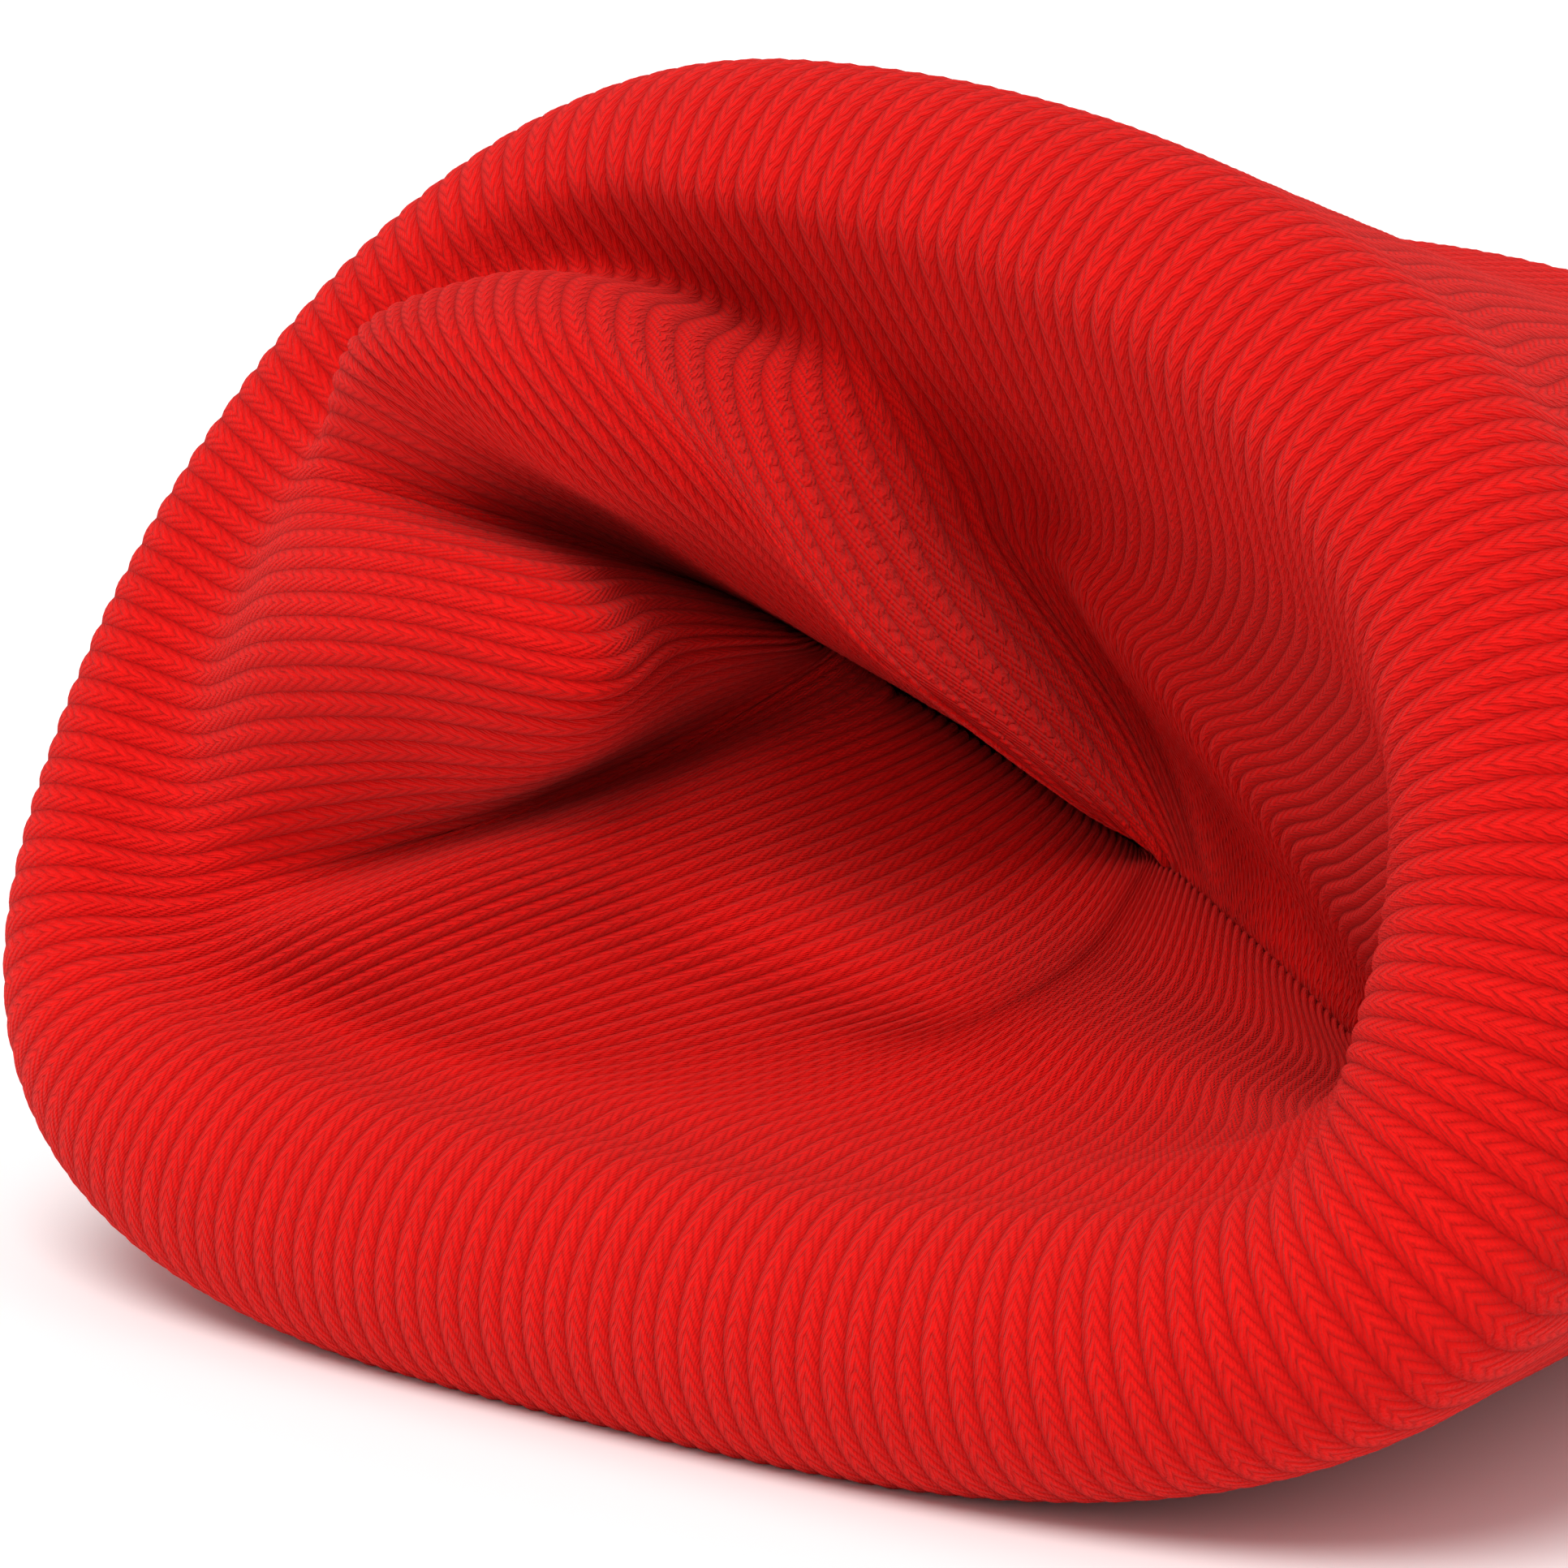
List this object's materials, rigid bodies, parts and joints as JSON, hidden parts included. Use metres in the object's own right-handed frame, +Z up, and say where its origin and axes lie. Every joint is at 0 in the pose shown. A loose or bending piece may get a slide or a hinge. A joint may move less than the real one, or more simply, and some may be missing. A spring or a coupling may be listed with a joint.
{
  "type": "pom pom beanie",
  "caption": "Red fine-knit double-layer beanie lying on its side, cuff turned up, lining bunched in the mouth, yarn pom pom tied to the gathered crown.",
  "frame": {"origin": "on the flat underside of the cuff, below the middle of the mouth", "axes": "+Y from the mouth to the crown and pom pom, +Z up from the surface that the hat lies on, +X to the right as seen looking into the mouth"},
  "size_m": [0.1797, 0.3235, 0.1105],
  "materials": {
    "knit": "matte fine-gauge plain knit",
    "yarn": "matte soft yarn",
    "thread": "matte thread"
  },
  "bodies": {
    "hat": {"outer_shell": "knit", "cuff_band": "knit", "lining": "knit", "crown_gather_thread": "thread", "lining_gather_thread": "thread", "anchor_knot": "yarn", "tie_shank": "yarn"},
    "lower_neck": {"crown_side_knot": "yarn"},
    "upper_neck": {"pom_side_knot": "yarn"},
    "pom": {"pom_pom": "yarn", "binding_cord": "yarn", "tie_tails": "yarn"}
  },
  "joints": [
    {"name": "pom_tilt", "type": "hinge", "parent": "hat", "child": "lower_neck", "pos_m": [0, 0.2005, 0.04], "axis": [1, 0, 0], "range_deg": [0, 35], "stiffness_Nm_per_rad": 0.05, "springref_deg": 8.02},
    {"name": "pom_sway", "type": "hinge", "parent": "lower_neck", "child": "upper_neck", "pos_m": [0, 0.2069, 0.04], "axis": [0, 0, 1], "range_deg": [-35, 35], "stiffness_Nm_per_rad": 0.05},
    {"name": "pom_twist", "type": "hinge", "parent": "upper_neck", "child": "pom", "pos_m": [0, 0.2469, 0.04], "axis": [0, 1, 0], "range_deg": [-60, 60], "stiffness_Nm_per_rad": 0.01}
  ]
}
